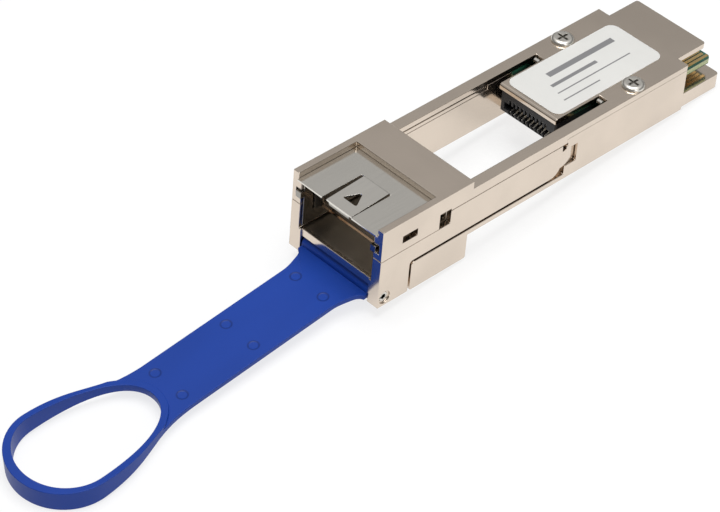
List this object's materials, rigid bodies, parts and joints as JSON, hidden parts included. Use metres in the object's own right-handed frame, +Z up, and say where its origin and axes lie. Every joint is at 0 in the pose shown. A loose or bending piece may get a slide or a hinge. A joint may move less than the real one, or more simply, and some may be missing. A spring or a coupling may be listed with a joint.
{
  "type": "port converter module",
  "caption": "Plug-in metal converter module with an open cage port, board-edge plug, sliding release frame and a hinged plastic pull strap.",
  "frame": {"origin": "middle of the port's floor, in the plane of the port's mouth and of the body's underside", "axes": "+X across the width to the right seen from the mouth, +Y from the port's mouth to the plug end, +Z up through the cover"},
  "size_m": [0.0184, 0.1303, 0.0211],
  "materials": {
    "housing_metal": "bright nickel plate over die-cast zinc, satin-polished",
    "cage_steel": "plain rolled stainless sheet, soft sheen",
    "pin_steel": "machined steel",
    "spring_steel": "drawn spring wire",
    "strap_blue": "moulded soft plastic, fine satin grain",
    "connector_black": "glass-filled moulding, semi-matt",
    "contact_gold": "gold plate",
    "contact_tin": "matt tin plate",
    "board_green": "solder mask over glass laminate",
    "screw_nickel": "bright nickel plate",
    "label_white": "matt printed film with four plain grey rules and no lettering",
    "chip_black": "moulded package",
    "ceramic_tan": "sintered ceramic"
  },
  "bodies": {
    "housing": {"cage_plate": "cage_steel", "cage_side_left": "cage_steel", "cage_side_right": "cage_steel", "cage_spring_left": "cage_steel", "cage_spring_right": "cage_steel", "cage_tab_front_left": "cage_steel", "cage_tab_front_right": "cage_steel", "cage_tab_rear_left": "cage_steel", "cage_tab_rear_right": "cage_steel", "capacitor_1": "ceramic_tan", "capacitor_2": "ceramic_tan", "capacitor_3": "ceramic_tan", "capacitor_4": "ceramic_tan", "chip_control": "chip_black", "chip_memory": "chip_black", "connector_contacts_lower": "contact_tin", "connector_contacts_upper": "contact_tin", "connector_housing": "connector_black", "cover_screw_left": "screw_nickel", "cover_screw_right": "screw_nickel", "edge_contacts_bottom": "contact_gold", "edge_contacts_top": "contact_gold", "label": "label_white", "lower_housing": "housing_metal", "main_board": "board_green", "resistor_1": "chip_black", "resistor_2": "chip_black", "resistor_3": "chip_black", "resistor_4": "chip_black", "return_spring_left": "spring_steel", "return_spring_right": "spring_steel", "spring_plug_left": "pin_steel", "spring_plug_right": "pin_steel", "upper_cover": "housing_metal"},
    "slider": {"slider_frame": "housing_metal", "strap_pin": "pin_steel", "spring_rod_left": "pin_steel", "spring_rod_right": "pin_steel"},
    "strap": {"pull_strap": "strap_blue"},
    "tongue": {"latch_tongue": "cage_steel"}
  },
  "joints": [
    {"name": "slider_pull", "type": "slide", "parent": "housing", "child": "slider", "axis": [0, -1, 0], "range_m": [0, 0.0021], "stiffness_N_per_m": 300, "springref_m": -0.002, "deforming": ["return_spring_left", "return_spring_right"]},
    {"name": "strap_swing", "type": "hinge", "parent": "slider", "child": "strap", "pos_m": [0, 0.00136, -0.00277], "axis": [1, 0, 0], "range_deg": [-58, 80]},
    {"name": "tongue_flex", "type": "hinge", "parent": "housing", "child": "tongue", "pos_m": [0, 0.0076, 0.00864], "axis": [-1, 0, 0], "range_deg": [0, 5], "stiffness_Nm_per_rad": 0.004}
  ]
}
